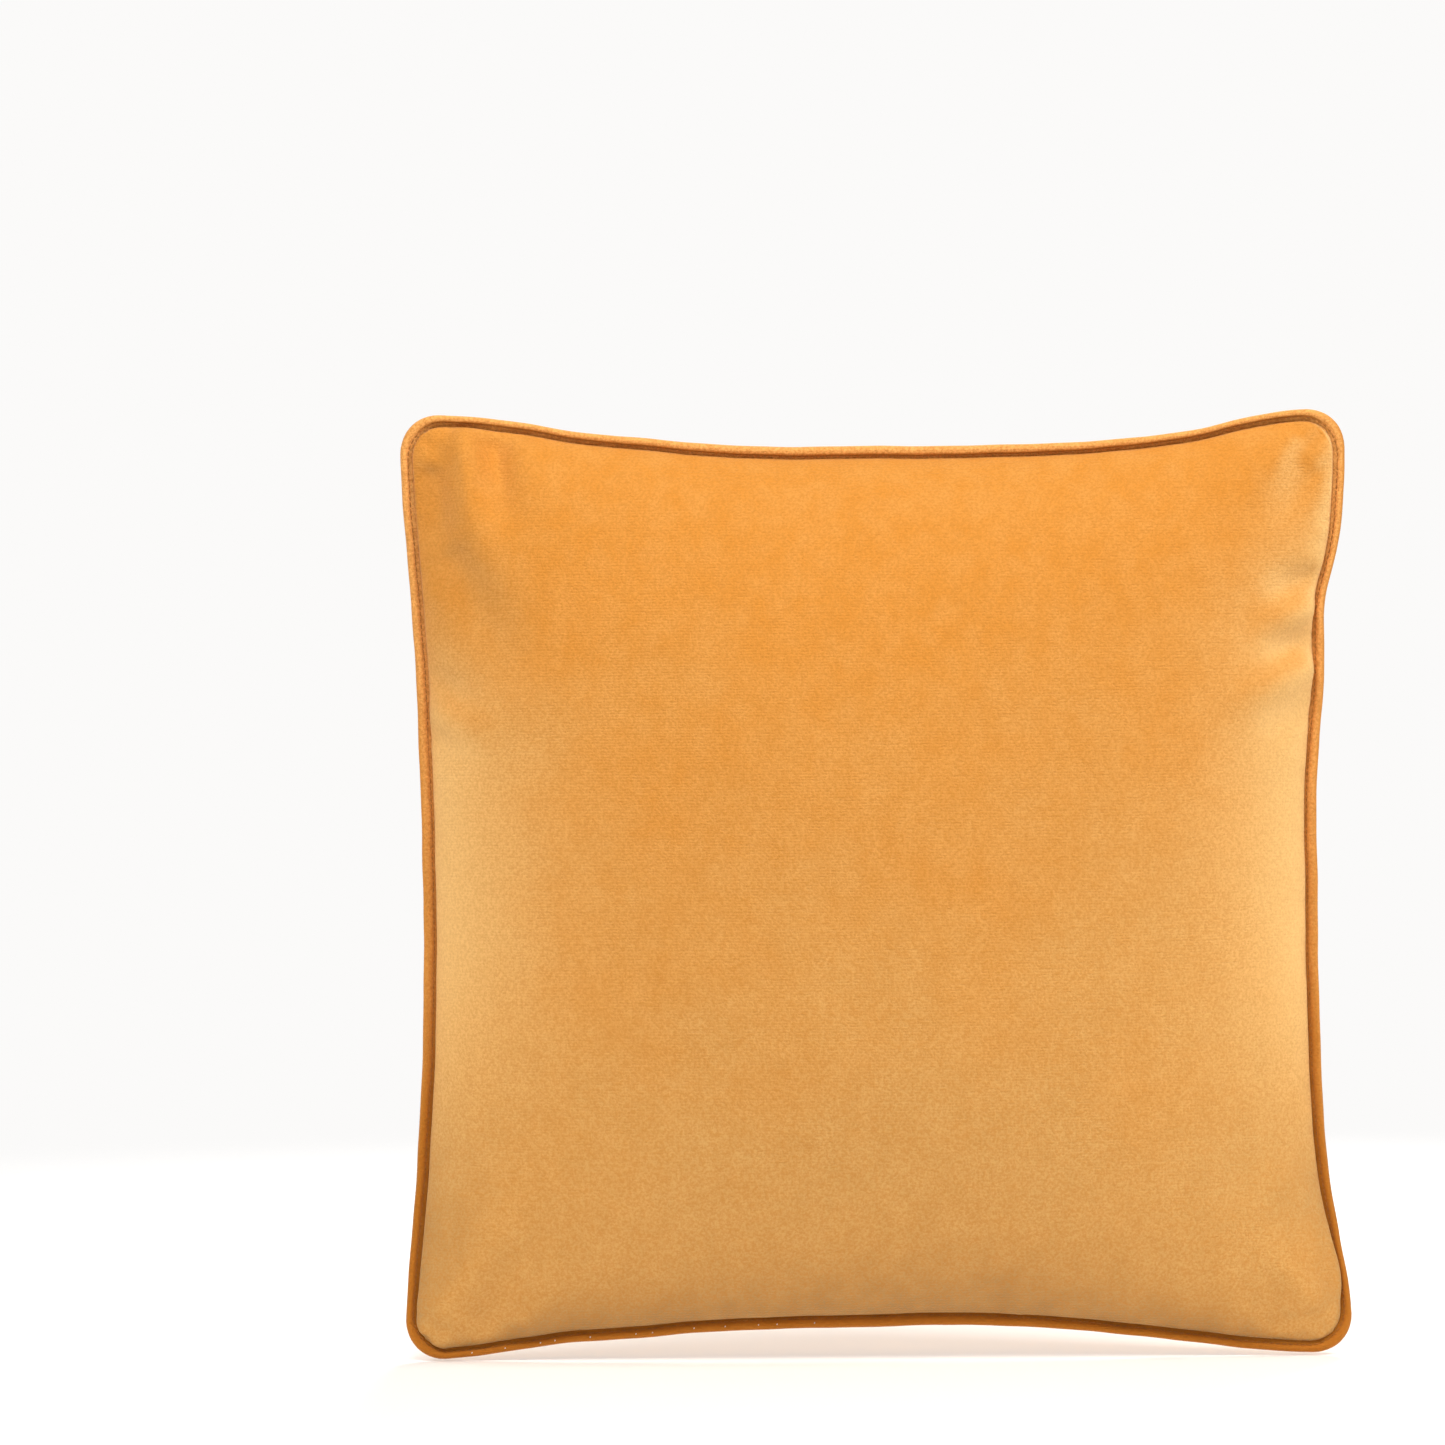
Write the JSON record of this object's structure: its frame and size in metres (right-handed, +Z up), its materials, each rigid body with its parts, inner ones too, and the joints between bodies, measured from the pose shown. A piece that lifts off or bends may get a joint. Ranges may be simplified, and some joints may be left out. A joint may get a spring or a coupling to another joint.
{
  "type": "throw pillow",
  "caption": "Square velvet throw pillow with a piped edge and a concealed lower zip, holding a removable fibre-filled insert.",
  "frame": {"origin": "bottom centre of the standing pillow: the middle of its width and thickness, at the height of its two lower corners", "axes": "+X along the width, +Y through the thickness towards the back, +Z up; the front panel faces -Y"},
  "size_m": [0.457, 0.14, 0.4568],
  "materials": {
    "velvet": "matte",
    "piping_velvet": "matte",
    "cotton_cord": "matte",
    "gold_thread": "satin",
    "white_thread": "satin",
    "label_satin": "satin",
    "ticking": "matte",
    "fibre_fill": "matte",
    "zip_tape": "matte",
    "zip_coil": "satin",
    "zip_metal": "satin"
  },
  "bodies": {
    "pillow": {"front_panel": "velvet", "back_panel": "velvet", "piping_cover": "piping_velvet", "piping_cord": "cotton_cord", "cover_seam_thread": "gold_thread", "care_label": "label_satin", "insert_front_panel": "ticking", "insert_back_panel": "ticking", "insert_seam_thread": "white_thread", "insert_closing_stitch": "white_thread", "fibre_fill": "fibre_fill", "zip_tape_front": "zip_tape", "zip_tape_back": "zip_tape", "zip_coil_front": "zip_coil", "zip_coil_back": "zip_coil", "zip_stitch_front": "gold_thread", "zip_stitch_back": "gold_thread", "zip_top_stop_front": "zip_metal", "zip_top_stop_back": "zip_metal", "zip_bottom_stop": "zip_metal"},
    "slider": {"zip_slider": "zip_metal"},
    "pull": {"zip_pull": "zip_metal"}
  },
  "joints": [
    {"name": "slider_travel", "type": "hinge", "parent": "pillow", "child": "slider", "pos_m": [0, 0.004, -1.43173], "axis": [0, -1, 0], "range_deg": [0, 11.69]},
    {"name": "pull_swing", "type": "hinge", "parent": "slider", "child": "pull", "pos_m": [0.1476, 0.004, 0.00933], "axis": [0, -1, 0], "range_deg": [0, 170]}
  ]
}
